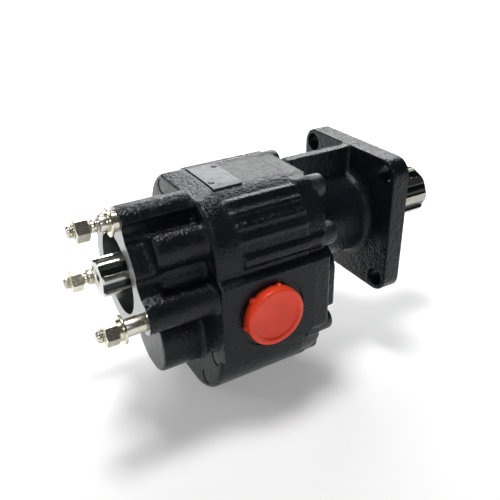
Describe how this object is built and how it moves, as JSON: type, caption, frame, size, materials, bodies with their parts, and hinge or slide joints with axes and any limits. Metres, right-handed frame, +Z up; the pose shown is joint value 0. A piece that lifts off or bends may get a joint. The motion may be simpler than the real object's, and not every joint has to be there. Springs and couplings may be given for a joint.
{
  "type": "hydraulic gear pump",
  "caption": "Through-shaft hydraulic gear pump with a square mounting flange, splined shaft ends, a studded rear face and capped side ports.",
  "frame": {"origin": "centre of the front mounting face, on the drive shaft axis", "axes": "+X out of the front mounting face along the drive shaft, +Z up, the driven gear below the drive gear"},
  "size_m": [0.2735, 0.124, 0.1525],
  "materials": {
    "cast_paint": "cast iron under glossy black enamel",
    "steel": "ground and splined steel",
    "bronze": "bearing bronze",
    "plate": "thrust plate with a bronze-coloured face",
    "seal": "black nitrile rubber",
    "black_steel": "steel under black enamel",
    "zinc": "yellow passivated zinc plate",
    "tag": "bright rolled aluminium, blank",
    "cap": "orange-red moulded plastic"
  },
  "bodies": {
    "pump": {"front_cover": "cast_paint", "pump_body": "cast_paint", "front_drive_bush": "bronze", "rear_drive_bush": "bronze", "front_driven_bush": "bronze", "rear_driven_bush": "bronze", "front_wear_plate": "plate", "rear_wear_plate": "plate", "front_plate_seal": "seal", "rear_plate_seal": "seal", "body_seal": "seal", "front_shaft_seal": "seal", "rear_shaft_seal": "seal", "front_snap_ring": "steel", "rear_snap_ring": "steel", "cover_screws": "black_steel", "dowel_pins": "steel", "mounting_studs": "zinc", "stud_nuts": "zinc", "flat_washers": "zinc", "spring_washers": "zinc", "stud_spacers": "zinc", "nameplate": "tag", "nameplate_rivets": "tag"},
    "shaft": {"drive_shaft": "steel"},
    "driven": {"driven_gear": "steel"},
    "near_cap": {"near_port_cap": "cap"},
    "far_cap": {"far_port_cap": "cap"}
  },
  "joints": [
    {"name": "drive_shaft_spin", "type": "hinge", "parent": "pump", "child": "shaft", "pos_m": [-0.106, 0, 0], "axis": [1, 0, 0], "continuous": true},
    {"name": "driven_gear_spin", "type": "hinge", "parent": "pump", "child": "driven", "pos_m": [-0.106, 0, -0.053], "axis": [1, 0, 0], "continuous": true},
    {"name": "near_cap_pull", "type": "slide", "parent": "pump", "child": "near_cap", "axis": [0, -1, 0], "range_m": [0, 0.03]},
    {"name": "far_cap_pull", "type": "slide", "parent": "pump", "child": "far_cap", "axis": [0, 1, 0], "range_m": [0, 0.03]}
  ],
  "couplings": [
    {"joint": "driven_gear_spin", "follows": "drive_shaft_spin", "ratio": -1}
  ]
}
